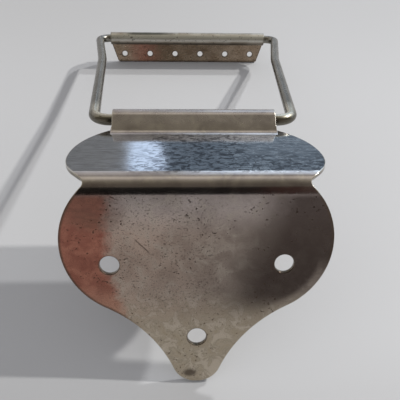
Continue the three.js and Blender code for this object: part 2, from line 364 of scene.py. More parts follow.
def edge_profile(thickness, edge):
    """A sheet's rounded edge, from the front face round to the back: inset, height over the
    sheet's middle, and the shares of the normal that face outwards and up. As an angle goes from
    nothing to a quarter turn and back, the inset is the edge's radius times one less the sine,
    and the height falls short of the face by the radius times one less the cosine."""
    angle = np.linspace(0, QUARTER_TURN, EDGE_STEPS + 1)
    sin, cos = np.sin(angle), np.cos(angle)
    level = thickness / 2 - edge * (1 - cos)
    out = np.concatenate([sin, sin[::-1]])
    return (
        edge * (1 - out),
        np.concatenate([level, -level[::-1]]),
        out,
        np.concatenate([cos, -cos[::-1]]),
    )


def cut_sheet(loops, thickness, edge, rows, spacing, columns):
    """A flat sheet cut by loops: a filled front, the same fill as its back, and a rounded strip
    between them along each loop. Gives per point (x, run, height), the outward part and the
    upward part of its normal and its distance from the edge, and the faces."""
    insets = [leftward(loop) for loop in loops]
    flat, triangles, starts = fill(loops, insets, edge, rows, spacing, columns)
    count = len(flat)
    gap = nearest(flat, loops)
    face = np.full(count, thickness / 2)
    blank = [np.column_stack([flat, face]), np.column_stack([flat, -face])]
    conormals = [np.zeros((2 * count, 2))]
    ups = [np.repeat([1.0, -1.0], count)]
    gaps = [gap, gap]
    faces = [triangles, triangles[:, ::-1] + count]
    offset = 2 * count
    inset, level, out, up = (row[1:-1] for row in edge_profile(thickness, edge))
    for loop, way, start in zip(loops, insets, starts):
        n = len(loop)
        unit = way / np.linalg.norm(way, axis=1, keepdims=True)
        ring = loop + way * inset[:, None, None]
        heights = np.broadcast_to(level[:, None, None], (len(level), n, 1))
        blank.append(np.concatenate([ring, heights], 2).reshape(-1, 3))
        conormals.append((-unit * out[:, None, None]).reshape(-1, 2))
        ups.append(np.repeat(up, n))
        gaps.append(np.repeat(inset - edge * (1 - np.abs(up)), n))

        front = start + np.arange(n)
        strip = offset + np.arange(len(level) * n).reshape(-1, n)
        steps = np.vstack([front, strip, front + count])
        a, d = steps[:-1], steps[1:]
        b, c = np.roll(a, -1, 1), np.roll(d, -1, 1)
        faces.append(np.stack([a, d, c], 2).reshape(-1, 3))
        faces.append(np.stack([a, c, b], 2).reshape(-1, 3))
        offset += strip.size
    return [np.concatenate(parts) for parts in (blank, conormals, ups, gaps, faces)]


def bent_sheet(line, loops, thickness, edge, spacing, seed, beside=None, columns=()):
    """A sheet cut by loops and bent along a line.

    A point of the blank at height h above its middle lands on the line's place plus h along
    the line's normal, and its normal turns with the line. Past the barrel's ends the sheet
    follows a second, level line instead, so that only the tab rises: the share s of that line
    grows as 3 s^2 - 2 s^3 over the tab's side. Returns points, their normals, faces, and per
    point (x, run, height) and its distance from the edge.
    """
    rows = line.rows(spacing)
    blank, conormal, up, gaps, faces = cut_sheet(loops, thickness, edge, rows, spacing, columns)
    x, run, height = blank.T
    lift, slope_x, slope_run = waves(x, run, seed, line.runs[-2])
    y, z, heading = line.at(run)
    if beside:
        share = np.clip((np.abs(x) - BARREL_HALF_LENGTH) / TAB_SIDE, 0, 1)
        share = share**2 * (3 - 2 * share)
        level_y, level_z, level_heading = beside.at(run)
        y, z = y + share * (level_y - y), z + share * (level_z - z)
        heading = heading + share * (level_heading - heading)
    height = height + lift
    cos, sin = np.cos(heading), np.sin(heading)
    points = np.column_stack([x, y - sin * height, z + cos * height])
    flat_x = conormal[:, 0] - up * slope_x
    flat_run = conormal[:, 1] - up * slope_run
    normals = np.column_stack([flat_x, cos * flat_run - sin * up, sin * flat_run + cos * up])
    normals /= np.linalg.norm(normals, axis=1, keepdims=True)
    return points, normals, faces.tolist(), blank, gaps


def plate_lines():
    """The end plate's middle line through the tab, and the level line beside the tab.

    The wire's middle lies over the shelf's full depth, the curl's middle radius m above it. The
    tab rises to it at the angle a from a foot of radius f. So the straight is
    (m (1 + cos a) - f (1 - cos a)) / sin a long, and the shelf's flat part is its depth less
    (f + m) sin a and less the straight times cos a.
    """
    rise = math.radians(RAMP_RISE)
    cos, sin = math.cos(rise), math.sin(rise)
    foot, middle = RAMP_FOOT_RADIUS, CURL_INSIDE + PLATE_THICKNESS / 2
    ramp = (middle * (1 + cos) - foot * (1 - cos)) / sin
    flat = SHELF_DEPTH - (foot + middle) * sin - ramp * cos
    curl = curl_turn(PLATE_THICKNESS)
    bend = math.radians(BEND_ANGLE)
    start = ((PLATE_HEIGHT, 0), ((BEND_INSIDE_RADIUS + PLATE_THICKNESS / 2) * bend, -bend))
    tab = ((flat, 0), (foot * rise, rise), (ramp, 0), (middle * curl, -curl))
    return SheetLine(0, 0, *start, *tab), SheetLine(0, 0, *start, (SHELF_DEPTH, 0))


def end_plate():
    """The end plate: heart, bend, shelf and the tab that holds the wire. The outline is a chain
    of arcs that touch: where two meet from opposite sides, their centres are as far apart as
    the sum of their radii."""
    line, level = plate_lines()
    tip = (0, math.sqrt(TIP_RADIUS**2 - TIP_FLAT_HALF_WIDTH**2))
    back_x = SHELF_HALF_WIDTH - SHELF_BACK_RADIUS
    tab = (BARREL_HALF_LENGTH, level.length - TAB_DEPTH)
    widest = tab[1] - math.sqrt(SHELF_BACK_RADIUS**2 - (BARREL_HALF_LENGTH - back_x) ** 2)
    lobe = (LOBE_HALF_WIDTH - LOBE_RADIUS, PLATE_HEIGHT - LOBE_BELOW_BEND)
    flank = meeting(tip, TIP_RADIUS + FLANK_RADIUS, lobe, LOBE_RADIUS + FLANK_RADIUS)
    wing = (SHELF_HALF_WIDTH, widest)
    front = (SHELF_HALF_WIDTH - SHELF_FRONT_RADIUS, widest)
    neck = meeting(lobe, LOBE_RADIUS + NECK_RADIUS, front, SHELF_FRONT_RADIUS + NECK_RADIUS)
    end = (BARREL_HALF_LENGTH - TAB_CORNER_RADIUS, line.length - TAB_CORNER_RADIUS)
    half = chain(
        arc(tip, TIP_RADIUS, (TIP_FLAT_HALF_WIDTH, 0), flank),
        arc(flank, FLANK_RADIUS, tip, lobe, True),
        arc(lobe, LOBE_RADIUS, flank, neck),
        arc(neck, NECK_RADIUS, lobe, front, True),
        arc(front, SHELF_FRONT_RADIUS, neck, wing),
        arc((back_x, widest), SHELF_BACK_RADIUS, wing, tab),
        straight(tab, (BARREL_HALF_LENGTH, end[1]), TAB_SIDE_SPACING),
        arc(end, TAB_CORNER_RADIUS, (line.length, end[1]), (end[0], line.length)),
    )
    places = (
        (-UPPER_SCREW_HALF_SPACING, UPPER_SCREW_HEIGHT),
        (UPPER_SCREW_HALF_SPACING, UPPER_SCREW_HEIGHT),
        (0, LOWER_SCREW_HEIGHT),
    )
    holes = [hole(x, run, SCREW_HOLE_RADIUS) for x, run in places]
    side = BARREL_HALF_LENGTH + TAB_SIDE * np.linspace(0, 1, TAB_SIDE_COLUMNS)
    return bent_sheet(
        line, [closed_both_ways(half), *holes], PLATE_THICKNESS, PLATE_EDGE_RADIUS,
        PLATE_SPACING, PLATE_WAVE_SEED, level, np.concatenate([-side, side]),
    )


def string_bar():
    """The string bar: a flange with six string holes, and the curl round the wire's far side. The
    curl is as long as its middle radius times its turn. The flange's ends slant from its foot to
    the curl, and each lower corner's arc starts its radius times the tangent of half the slant
    before the corner."""
    radius = CURL_INSIDE + BAR_THICKNESS / 2
    curl = curl_turn(BAR_THICKNESS)
    line = SheetLine(radius, -FLANGE_REACH, (FLANGE_REACH, 0), (radius * curl, curl))
    foot = BAR_HALF_LENGTH - FLANGE_END_INSET
    shoulder = (BAR_HALF_LENGTH, FLANGE_REACH - CURL_INSIDE - BAR_THICKNESS)
    slant = math.atan2(shoulder[1], FLANGE_END_INSET)
    corner = (foot - FLANGE_CORNER_RADIUS * math.tan(slant / 2), FLANGE_CORNER_RADIUS)
    leave = (corner[0] + math.sin(slant), corner[1] - math.cos(slant))
    turned = arc(
        corner, FLANGE_CORNER_RADIUS, (corner[0], 0), leave, spacing=BAR_CORNER_SPACING
    )
    end = (BAR_HALF_LENGTH - BAR_CORNER_RADIUS, line.length - BAR_CORNER_RADIUS)
    half = chain(
        turned,
        straight(turned[-1], shoulder, ARC_SPACING),
        straight(shoulder, (BAR_HALF_LENGTH, end[1]), BAR_SIDE_SPACING),
        arc(end, BAR_CORNER_RADIUS, (line.length, end[1]), (end[0], line.length)),
    )
    places = STRING_HOLE_SPACING * (np.arange(STRING_COUNT) - (STRING_COUNT - 1) / 2)
    holes = [hole(x, STRING_HOLE_HEIGHT, STRING_HOLE_RADIUS) for x in places]
    return bent_sheet(
        line, [closed_both_ways(half), *holes], BAR_THICKNESS, BAR_EDGE_RADIUS,
        BAR_SPACING, BAR_WAVE_SEED,
    )


def corner_half_span(bend_start, radius, knee_away):
    """How far out a corner lies, so that its bend starts just past the curl and ends in line
    with the knee: the start plus the radius times the tangent of half the angle, and that
    tangent is the root of a quadratic."""
    aside, ahead = KNEE_HALF_SPAN - bend_start, knee_away - 2 * radius
    tangent = (math.sqrt(aside**2 + knee_away * ahead) - aside) / ahead
    return bend_start + radius * tangent


def wire_path():
    """Places and headings along the wire's middle: straight runs between arcs that turn at a
    steady rate, each starting the radius times the tangent of half its turn before its corner."""
    knee = HINGE_TO_BAR - KNEE_TO_BAR
    near = corner_half_span(BARREL_HALF_LENGTH + HINGE_END_PLAY, NEAR_BEND_RADIUS, knee)
    far = corner_half_span(BAR_HALF_LENGTH + BAR_END_PLAY, FAR_BEND_RADIUS, KNEE_TO_BAR)
    right = [
        (near, 0, NEAR_BEND_RADIUS),
        (KNEE_HALF_SPAN, knee, KNEE_BEND_RADIUS),
        (far, HINGE_TO_BAR, FAR_BEND_RADIUS),
    ]
    corners = right + [(-x, y, radius) for x, y, radius in right[::-1]]
    middles = [(x, y) for x, y, radius in corners]
    places = np.array([(WIRE_END_GAP / 2, 0), *middles, (-WIRE_END_GAP / 2, 0)], float)
    ways = np.diff(places, axis=0)
    ways /= np.linalg.norm(ways, axis=1, keepdims=True)
    leads = [math.atan2(way[1], way[0]) for way in ways]
    path, headings = [places[:1]], [np.array(leads[:1])]
    for i, (x, y, radius) in enumerate(corners):
        heading = leads[i]
        turn = (leads[i + 1] - heading + math.pi) % FULL_TURN - math.pi
        begin = places[i + 1] - ways[i] * radius * math.tan(abs(turn) / 2)
        angles = heading + turn * np.linspace(0, 1, math.ceil(abs(turn) / BEND_STEP) + 1)
        size = radius * math.copysign(1, turn)
        bow = np.stack(
            [np.sin(angles) - math.sin(heading), math.cos(heading) - np.cos(angles)], 1
        )
        lead = straight(path[-1][-1], begin, WIRE_SPACING)[1:-1]
        path += [lead, begin + size * bow]
        headings += [np.full(len(lead), heading), angles]
    lead = straight(path[-1][-1], places[-1], WIRE_SPACING)[1:]
    path.append(lead)
    headings.append(np.full(len(lead), leads[-1]))
    return np.concatenate(path), np.concatenate(headings)


def wire_loop():
    """The wire: at each place of its path a circle across it, the radius times the cosine
    towards the path's left and times the sine upwards. Its ends are bevelled and closed by flat
    caps. Returns points, faces, and per point the distance along with the circle's two parts."""
    path, headings = wire_path()
    steps = np.linalg.norm(np.diff(path, axis=0), axis=1)
    along = np.concatenate([[0], np.cumsum(steps)])
    from_end = np.minimum(along, along[-1] - along)
    radius = WIRE_RADIUS - WIRE_END_BEVEL * np.clip(1 - from_end / WIRE_END_BEVEL, 0, 1)
    angles = FULL_TURN * np.arange(WIRE_SIDES) / WIRE_SIDES
    left = np.stack([-np.sin(headings), np.cos(headings), np.zeros(len(path))], 1)
    centre = np.column_stack([path, np.zeros(len(path))])
    cos, sin = np.cos(angles)[None, :, None], np.sin(angles)[None, :, None]
    circle = cos * left[:, None] + sin * np.array([0, 0, 1])
    points = centre[:, None] + radius[:, None, None] * circle
    index = np.arange(len(path) * WIRE_SIDES).reshape(len(path), WIRE_SIDES)
    ahead = np.roll(index, -1, 1)
    sides = np.stack([index[1:], ahead[1:], ahead[:-1], index[:-1]], 2).reshape(-1, 4)
    caps = [index[0].tolist(), index[-1][::-1].tolist()]
    parts = (along[:, None], WIRE_RADIUS * cos[..., 0], WIRE_RADIUS * sin[..., 0])
    spots = np.stack(np.broadcast_arrays(*parts), 2)
    return points.reshape(-1, 3), sides.tolist() + caps, spots.reshape(-1, 3)


def set_down(points, turn, place=(0.0, 0.0)):
    """Turns points about X by an angle in degrees, then moves them to a place in y and z."""
    cos, sin = math.cos(math.radians(turn)), math.sin(math.radians(turn))
    x, y, z = np.asarray(points).T
    return np.column_stack([x, y * cos - z * sin + place[0], y * sin + z * cos + place[1]])


def add_object(name, data):
    """Puts a mesh, a lamp or a camera into the scene, at the origin."""
    thing = bpy.data.objects.new(name, data)
    bpy.context.scene.collection.objects.link(thing)
    return thing


def add_mesh(name, points, faces, finish):
    """Puts points in millimetres and their faces into the scene as a mesh in metres."""
    mesh = bpy.data.meshes.new(name)
    mesh.from_pydata((points / 1000).tolist(), [], faces)
    mesh.materials.append(finish)
    return add_object(name, mesh)


def add_piece(name, points, faces, spots, finish, normals=None, gaps=None):
    """Adds a smooth mesh with the attributes that its finish reads."""
    piece = add_mesh(name, points, faces, finish)
    mesh = piece.data
    spot = mesh.attributes.new("spot", "FLOAT_VECTOR", "POINT")
    spot.data.foreach_set("vector", spots.astype(np.float32).ravel())
    if gaps is not None:
        gap = mesh.attributes.new("gap", "FLOAT", "POINT")
        gap.data.foreach_set("value", gaps.astype(np.float32))
    mesh.polygons.foreach_set("use_smooth", np.ones(len(mesh.polygons), bool))
    if normals is not None:
        mesh.normals_split_custom_set_from_vertices(normals.tolist())
    mesh.validate()
    return piece


class Shade:
    """A number on its way through a node tree, so that shader maths reads as plain sums."""

    def __init__(self, tree, socket):
        self.tree, self.socket = tree, socket

    def maths(self, operation, *others):
        """Adds a Math node that takes this number first."""
        sockets = {0: self, **dict(enumerate(others, 1))}
        return self.tree.add("Math", {"operation": operation}, sockets)

    def __add__(self, other):
        return self.maths("ADD", other)

    def __sub__(self, other):
        return self.maths("SUBTRACT", other)

    def __rsub__(self, other):
        return (self * -1).maths("ADD", other)

    def __mul__(self, other):
        return self.maths("MULTIPLY", other)

    def __truediv__(self, other):
        return self.maths("DIVIDE", other)

    def __pow__(self, other):
        return self.maths("POWER", other)

    def __abs__(self):
        return self.maths("ABSOLUTE")

    __radd__ = __add__
    __rmul__ = __mul__

    def either(self, other):
        """The larger of two numbers."""
        return self.maths("MAXIMUM", other)

    def rise(self, low, high):
        """0 up to the low value and 1 from the high one. Between them the share t of the way
        gives 3 t^2 - 2 t^3."""
        settings = {"interpolation_type": "SMOOTHSTEP"}
        sockets = {"Value": self, "From Min": low, "From Max": high}
        return self.tree.add("MapRange", settings, sockets)

    def fall(self, low, high):
        """1 up to the low value and 0 from the high one, as smoothly."""
        return 1 - self.rise(low, high)

    def band(self, low, high, last, end):
        """A rise from the first value to the second, and a fall from the third to the fourth."""
        return self.rise(low, high) * self.fall(last, end)

    def near(self, middle, reach):
        """1 at the middle value, and a smooth fall to 0 at the reach from it."""
        return abs(self - middle).fall(0, reach)


class Finish:
    """The node tree of a material or of the world, with one method that adds any node."""

    def __init__(self, owner):
        owner.use_nodes = True
        self.owner, self.tree = owner, owner.node_tree
        self.tree.nodes.clear()

    def add(self, kind, settings=None, sockets=None, output=0):
        """Adds a node: its settings first, then the values or links of its sockets. A ramp's
        stops are (position, colour) pairs. Gives one of the outputs that are in use, by its
        place or its name."""
        node = self.tree.nodes.new("ShaderNode" + kind)
        for name, value in (settings or {}).items():
            if name == "stops":
                elements = node.color_ramp.elements
                while len(elements) < len(value):
                    elements.new(0.5)
                for element, (position, colour) in zip(elements, value):
                    element.position, element.color = position, (*colour, 1)
            else:
                setattr(node, name, value)
        for key, value in (sockets or {}).items():
            socket = node.inputs[key] if isinstance(key, int) else self._find(node.inputs, key)
            if isinstance(value, Shade):
                self.tree.links.new(value.socket, socket)
            elif socket.type == "RGBA":
                socket.default_value = (*value, 1)
            else:
                socket.default_value = value
        outputs = [one for one in node.outputs if one.enabled]
        if not outputs:
            return node
        by_name = isinstance(output, str)
        return Shade(self, self._find(outputs, output) if by_name else outputs[output])

    @staticmethod
    def _find(sockets, name):
        """The socket in use that has a name, because some nodes have several of one name."""
        return next(one for one in sockets if one.name == name and one.enabled)

    def mix(self, share, first, second, blend="MIX"):
        """One colour over another, by a share."""
        settings = {"data_type": "RGBA", "blend_type": blend}
        return self.add("Mix", settings, {"Factor": share, "A": first, "B": second})

    def stretch(self, vector, *scale):
        """A vector times a scale for each axis: the smaller the scale, the longer a pattern."""
        return self.add("VectorMath", {"operation": "MULTIPLY"}, {0: vector, 1: scale})

    def shift(self, vector, *step):
        """A vector moved by a step, so that two noises of one kind don't coincide."""
        return self.add("VectorMath", {"operation": "ADD"}, {0: vector, 1: step})

    def noise(self, vector, scale, detail=2.0, rough=0.5, twist=0.0):
        """Noise from about 0 to 1 with its middle at 0.5, finer for a bigger scale."""
        sockets = {
            "Vector": vector, "Scale": scale, "Detail": detail, "Roughness": rough,
            "Distortion": twist,
        }
        return self.add("TexNoise", {"noise_dimensions": "3D"}, sockets)

    def parts(self, vector):
        """The three numbers of a vector."""
        node = self.tree.nodes.new("ShaderNodeSeparateXYZ")
        self.tree.links.new(vector.socket, node.inputs[0])
        return [Shade(self, one) for one in node.outputs]

    def read(self, name, output="Vector"):
        """An attribute of the mesh."""
        return self.add("Attribute", {"attribute_name": name}, output=output)

    def place(self):
        """The place in metres, from the Object coordinates."""
        return self.add("TexCoord", output="Object")

    def ray(self, kind):
        """1 for rays of a kind, such as Camera or Diffuse, and 0 for others."""
        return self.add("LightPath", output=f"Is {kind} Ray")

    def spot_at(self, x, y, centre_x, centre_y, radius, soft):
        """A soft round spot: 1 within the radius, falling to 0 over the soft rim."""
        away = ((x - centre_x) ** 2 + (y - centre_y) ** 2) ** 0.5
        return away.fall(radius, radius + soft)

    def surface(self, sockets):
        """Ends the tree in a principled surface and gives back its material."""
        self.add("OutputMaterial", {}, {"Surface": self.add("BsdfPrincipled", {}, sockets)})
        return self.owner

    def metal(self, colour, rough, height, depth):
        """A metal surface, with a bump whose height is in millimetres."""
        bump = {"Height": height, "Strength": 1.0, "Distance": depth / 1000}
        sockets = {"Base Color": colour, "Roughness": rough, "Metallic": 1.0}
        return self.surface({**sockets, "Normal": self.add("Bump", {}, bump)})

    def paint(self, colour, rough, gloss):
        """A painted surface with a faint gloss or none."""
        return self.surface({"Base Color": colour, "Roughness": rough, "Specular IOR Level": gloss})


def plate_finish():
    """Nickel plate that has gone brown in patches: pitted in the heart's middle, with painted
    reflections that make it lighter and red on its left and dark on its right, cloudy towards the
    tip, streaked across the shelf with light streaks painted as reflections on its right, with
    painted shade along part of the heart's edge, round the holes and on the cut edges, and worn
    bright along the edges. Each mask is a smooth step of a place, of noise or of both."""
    f = Finish(bpy.data.materials.new("tarnished_nickel_plate"))
    spot = f.read("spot")
    gap = f.read("gap", "Fac")
    x, run, side = f.parts(spot)
    heart = run.fall(46.5, 48.5)
    shelf = run.band(51.5, 53.5, 73, 75)
    upper_screw = (UPPER_SCREW_HALF_SPACING, UPPER_SCREW_HEIGHT)
    cloud = f.noise(spot, 0.11, 4, 0.55, 0.5)
    patch = f.noise(f.shift(spot, 40, 7, 3), 0.32, 5, 0.6, 0.8)
    fine = f.noise(f.shift(spot, 9, 31, 5), 1.7, 3, 0.6)
    streak = f.noise(f.stretch(spot, 0.35, 1.7, 1), 1.0, 4, 0.6, 0.3)
    grain = f.noise(f.stretch(spot, 0.5, 2.6, 1), 1.3, 3, 0.6)
    specks = f.noise(f.stretch(spot, 1.5, 1.7, 1), 1.0, 1.5, 0.55).rise(0.64, 0.7)
    crowd = f.noise(f.shift(spot, 3, 90, 1), 0.13, 2).rise(0.38, 0.62)
    pits = specks * crowd * side.rise(-0.3, 0.3)
    warp = (patch - 0.5) * 5

    # The brown ground: a painted reflection makes the heart's middle lighter on the left and darker
    # on the right; olive and cloudy at its tip
    middle = run.band(12, 20, 37, 46)
    brown = f.mix(cloud.rise(0.35, 0.68), (0.43, 0.39, 0.37), (0.33, 0.295, 0.28))
    # Painted reflection: lighter on the left of the heart's middle, darker on its right
    reflection_slope = f.mix(x.rise(-20, 14), (1.32, 1.17, 1.04), (0.70, 0.665, 0.62))
    brown = f.mix(middle, brown, f.mix(1.0, brown, reflection_slope, "MULTIPLY"))
    wash = f.mix(patch.rise(0.42, 0.72) * 0.5, brown, (0.50, 0.46, 0.40))
    olive = f.mix(patch.rise(0.36, 0.66), (0.43, 0.36, 0.25), (0.59, 0.515, 0.41))
    olive = f.mix(run.fall(12, 26) * heart * 0.8, wash, olive)
    ring = abs(patch - 0.52).fall(0.008, 0.03) * run.fall(20, 27) * heart
    olive = f.mix(ring * 0.45, olive, (0.27, 0.235, 0.17))

    # Painted reflections: red on the left with a darker spot at its top, and a dark patch on the
    # right
    lean = (run - 30).maths("MINIMUM", 0) * 0.28
    left = (x + warp + lean).fall(-21.5, -18) * heart
    red_reflection = f.mix(patch.rise(0.35, 0.65), (0.30, 0.105, 0.075), (0.44, 0.18, 0.125))
    red_reflection = f.mix(run.rise(18, 28), (0.52, 0.29, 0.21), red_reflection)
    red = f.mix(left * 0.92, olive, red_reflection)
    # A darker spot at the top of the painted red reflection
    dark_top_spot = f.spot_at(x * 0.7, run + warp, -16, 44, 2, 5) * (0.3 + streak)
    red = f.mix(dark_top_spot * 0.8, red, (0.15, 0.085, 0.065))
    by_screw = f.spot_at(x, run, *upper_screw, 5, 1)
    inner = gap.rise(0.8, 2.8).either(run.rise(27, 33)).either(by_screw)
    # Painted dark reflection on the heart's right, kept off its outer edges
    dark_reflection = (x + warp - (run - 27) * 0.35).rise(4, 16.5) * (run + warp * 0.5).rise(17, 24)
    dim = f.mix(dark_reflection * inner * heart * 0.87, red, (0.06, 0.045, 0.04))

    # The shelf: cool grey, with light streaks towards the right painted as reflections off its
    # ripples, and dark dashes in the middle
    ripple = f.noise(f.stretch(spot, 0.2, 0.85, 1), 1.0, 3, 0.6, 1.2)
    # Light streaks painted as reflections off the shelf's ripples
    ripple_reflections = ripple.band(0.47, 0.52, 0.56, 0.62) * x.rise(2, 12)
    sheen = f.mix(streak.rise(0.35, 0.7), (0.60, 0.62, 0.64), (0.44, 0.45, 0.47))
    sheen = f.mix(ripple_reflections, sheen, (0.92, 0.93, 0.93))
    strewn = f.stretch(f.shift(spot, 5, 2, 0), 0.65, 1.3, 1)
    dashes = f.noise(strewn, 1.0, 2, 0.65, 0.8).rise(0.51, 0.545)
    dashes = dashes * x.band(-16, -7, 8, 16).either(0.8 - run.rise(57, 66) * 0.8)
    dashes = dashes * x.rise(-18, -13)
    sheen = f.mix(dashes * 0.9, sheen, (0.11, 0.115, 0.13))
    bright = f.mix(shelf, dim, sheen)

    # Marks on the heart: pits, a mark at the tip, small dots and one scratch
    mark = f.spot_at((x + (fine - 0.5) * 1.5) * 0.7, run, -1.1, 2.5, 0.5, 1.0)
    dots = f.noise(f.stretch(spot, 1.0, 1.3, 1), 2.0, 1.5, 0.55).rise(0.59, 0.66)
    dots = dots * x.band(-24, -19, 0, 12) * run.rise(15, 24) * heart
    scratch = abs(x + run - 23.5 + (fine - 0.5) * 0.3).fall(0.08, 0.3)
    scratch = scratch * x.band(-14, -13.4, -11, -10.4)
    marks = (pits * heart * 0.85).either(mark * 0.8).either(dots * 0.6).either(scratch * 0.75)
    marked_and_shaded = f.mix(marks, bright, (0.075, 0.055, 0.042))

    # Edges: painted shade along part of the heart and round the holes, wear elsewhere, and painted
    # shade on the middle of each cut edge, which darkens the hole walls
    rimmed = x.fall(-12, 0).either(x.rise(8, 14) * run.rise(28, 34))
    lower_hole = f.spot_at(x, run, 0, LOWER_SCREW_HEIGHT, 3, 0.4)
    holes = f.spot_at(abs(x), run, *upper_screw, 3, 0.4).either(lower_hole)
    # Painted shade along part of the heart's edge and round the holes
    outline = gap.fall(0.25, 0.8) * rimmed * run.rise(14, 20) * heart * (1 - holes)
    outline = outline.either(gap.fall(0.05, 0.4) * holes)
    marked_and_shaded = f.mix(outline * 0.75, marked_and_shaded, (0.10, 0.075, 0.055))
    worn = gap.fall(0.02, 0.4) * (0.3 + 0.5 * fine) * (1 - outline.either(holes * 0.9))
    colour = f.mix(worn, marked_and_shaded, (0.62, 0.59, 0.50))
    # Painted shade on the middle of every cut edge, which darkens the hole walls
    colour = f.mix(abs(side).fall(0.3, 0.46) * 0.8, colour, (0.16, 0.135, 0.10))

    barrel = run.rise(76, 79)
    rough = 0.22 + 0.12 * (patch - 0.5) - 0.12 * shelf + 0.25 * pits * heart + 0.06 * barrel
    heart_height = (fine - 0.5) * 0.2 - pits * 0.4 + (streak - 0.5) * 0.2
    return f.metal(colour, rough, heart * heart_height + shelf * (grain - 0.5) * 0.3, 0.02)


def wire_finish():
    """Nickel-plated wire, drawn lengthways, with a painted dark reflection along the loop's outside
    and a painted highlight on top next to the hinge."""
    f = Finish(bpy.data.materials.new("nickel_plated_wire"))
    spot = f.read("spot")
    _, inward, upward = f.parts(spot)
    _, y, _ = f.parts(f.place())
    cloud = f.noise(f.stretch(spot, 0.12, 0.5, 0.5), 1.0, 4, 0.6, 0.4)
    drawn = f.noise(f.stretch(spot, 0.15, 3, 3), 1.0, 3, 0.6)
    fine = f.noise(spot, 2.2, 3, 0.6)
    grey = f.mix(cloud.rise(0.35, 0.7), (0.27, 0.258, 0.228), (0.175, 0.163, 0.135))
    outer = (inward * -1).rise(0.0, 0.9)
    # Painted dark reflection along the loop's outside
    with_painted_light = f.mix(outer * 0.6, grey, (0.09, 0.078, 0.055))
    # Painted highlight on top next to the hinge
    painted_highlight = upward.rise(0.6, 1.2) * (1 - outer * 0.8) * y.fall(-0.012, -0.004)
    with_painted_light = f.mix(painted_highlight * 0.8, with_painted_light, (0.80, 0.75, 0.62))
    specks = f.noise(f.stretch(spot, 1.2, 1.6, 1.6), 1.0, 1, 0.5).rise(0.68, 0.73)
    colour = f.mix(specks * 0.7, with_painted_light, (0.09, 0.07, 0.05))
    rough = 0.2 + 0.15 * cloud + 0.1 * (drawn - 0.5) + 0.2 * specks
    return f.metal(colour, rough, (drawn - 0.5) + 0.4 * (fine - 0.5) - specks, 0.01)


def bar_finish():
    """Thin nickel plate worn through to a warm brown, coppery between the first strings, with a
    painted highlight band and a painted dark reflection streak on its roll, and painted shade down
    to the seam, under the roll, at the foot, along the ends and round the string holes."""
    f = Finish(bpy.data.materials.new("worn_nickel_bar"))
    spot = f.read("spot")
    gap = f.read("gap", "Fac")
    x, run, _ = f.parts(spot)
    cloud = f.noise(spot, 0.15, 4, 0.6, 0.5)
    patch = f.noise(f.shift(spot, 11, 3, 8), 0.5, 4, 0.6, 0.6)
    streak = f.noise(f.stretch(spot, 0.2, 1.6, 1), 1.0, 3, 0.6)
    fine = f.noise(spot, 2.0, 3, 0.6)
    flange = run.fall(7.5, 9.5)
    brown = f.mix(cloud.rise(0.35, 0.68), (0.48, 0.45, 0.39), (0.32, 0.28, 0.225))
    brown = f.mix(flange, brown, f.mix(1.0, brown, (0.78, 0.68, 0.60), "MULTIPLY"))
    # Painted highlight band across the roll's front
    brown = f.mix(run.band(14, 15, 16.1, 16.8) * 0.8, brown, (0.66, 0.66, 0.61))
    # Painted shade on the roll's lower front, down to the seam
    brown = f.mix(run.rise(16.3, 17.4) * 0.8, brown, (0.13, 0.105, 0.08))
    # Painted dark reflection streak along the top of the roll, on its left part
    top = (x + streak * 6).band(-24, -18, -10, 2) * run.band(12.6, 13.4, 14.1, 14.8)
    brown = f.mix(top * 0.85, brown, (0.06, 0.062, 0.05))
    red = (x + (patch - 0.5) * 6).near(-18, 9) * flange
    warm = f.mix(red * 0.75, brown, (0.36, 0.17, 0.13))
    specks = f.noise(f.stretch(spot, 1.1, 1.6, 1), 1.0, 1, 0.5).rise(0.66, 0.72)
    # Painted shade under the roll, at the foot, along the ends and round the string holes
    bar_shade = run.band(6.6, 8.6, 10.5, 12) * flange.either(0.4)
    bar_shade = bar_shade.either(run.fall(0.2, 1.1)).either(1 - gap.rise(0.15, 0.5) * run.rise(0, 1))
    marked_and_shaded = f.mix((bar_shade * 0.7).either(specks * 0.7), warm, (0.07, 0.055, 0.042))
    worn = gap.fall(0.02, 0.3) * (0.3 + 0.5 * fine) * run.rise(8, 10)
    colour = f.mix(worn, marked_and_shaded, (0.60, 0.57, 0.50))
    rough = 0.27 + 0.14 * (1 - flange) + 0.12 * (patch - 0.5) + 0.08 * (streak - 0.5)
    height = (streak - 0.5) + 0.5 * (fine - 0.5) - specks
    return f.metal(colour, rough + 0.2 * specks, height, 0.015)


